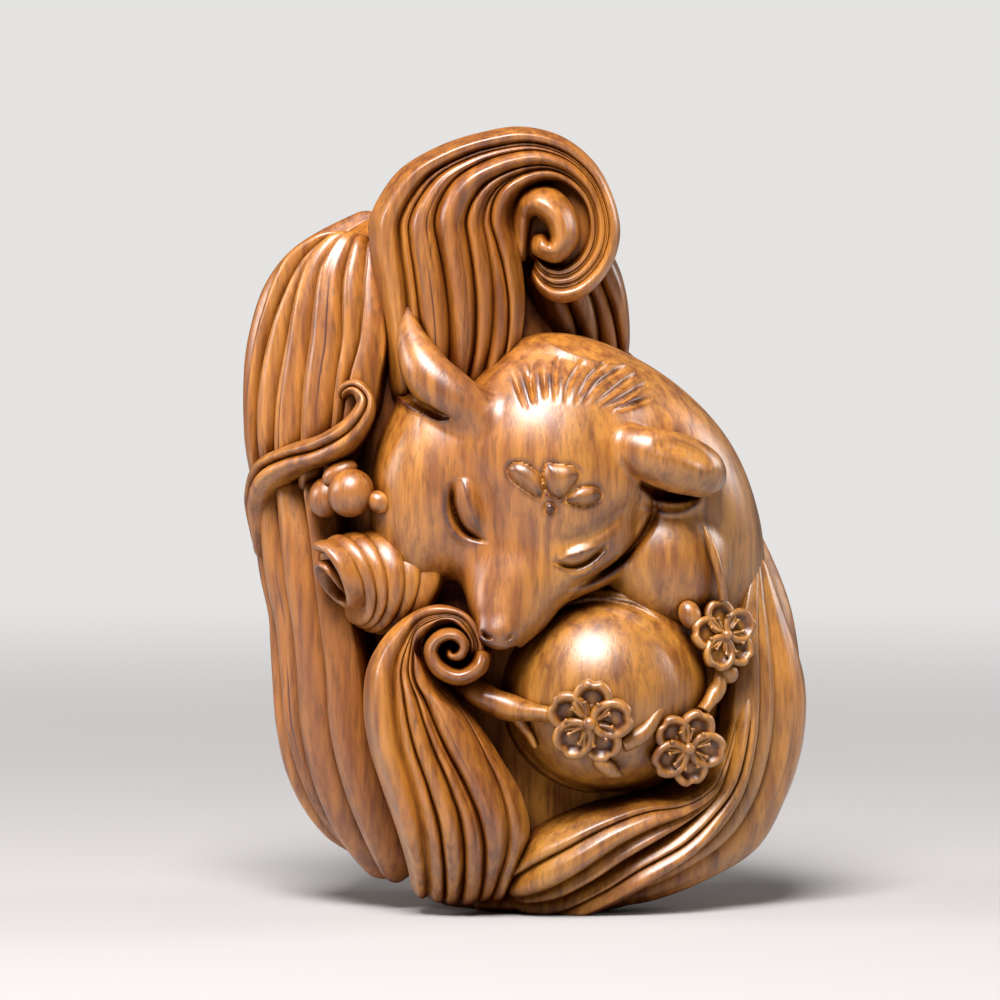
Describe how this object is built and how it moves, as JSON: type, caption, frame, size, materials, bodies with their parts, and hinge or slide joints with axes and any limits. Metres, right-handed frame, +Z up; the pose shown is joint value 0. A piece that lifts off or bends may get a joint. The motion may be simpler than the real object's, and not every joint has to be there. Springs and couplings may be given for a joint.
{
  "type": "carved wooden fox figurine",
  "caption": "Hand-sized carved wooden figurine of a sleeping fox wrapped in its own flowing tails, with scrolls, beads and blossoms, standing upright on a small flat foot.",
  "frame": {"origin": "middle of the flat foot that the figurine stands on", "axes": "+Z up, the fox's face towards -Y, +X to the viewer's right as seen from the front"},
  "size_m": [0.0489, 0.0334, 0.0695],
  "materials": {
    "wood": "hand-polished dense carving wood with fine pores and a soft satin sheen"
  },
  "bodies": {
    "root": {"block": "wood", "haunch": "wood", "head": "wood", "cheek": "wood", "chest": "wood", "back": "wood", "flank": "wood", "left_ear": "wood", "right_ear": "wood", "crest_tail": "wood", "crest_curl": "wood", "rear_crest": "wood", "left_upper_tail": "wood", "left_edge_tail": "wood", "left_lower_tail": "wood", "wrap_lock": "wood", "side_scroll": "wood", "side_curl": "wood", "large_bead": "wood", "small_bead": "wood", "bud_bead": "wood", "front_tail": "wood", "front_curl": "wood", "left_inner_tail": "wood", "base_upper_tail": "wood", "base_middle_tail": "wood", "base_lower_tail": "wood", "rear_left_tail": "wood", "rear_middle_tail": "wood", "rear_right_tail": "wood", "right_rear_tail": "wood", "right_edge_tail": "wood", "nose": "wood", "left_eyelid": "wood", "right_eyelid": "wood", "forelock": "wood", "heart_mark": "wood", "left_mark": "wood", "right_mark": "wood", "dot_mark": "wood", "front_blossom": "wood", "low_blossom": "wood", "side_blossom": "wood", "left_branch": "wood", "right_twig": "wood", "upper_branch": "wood", "chest_twig": "wood"}
  },
  "joints": []
}
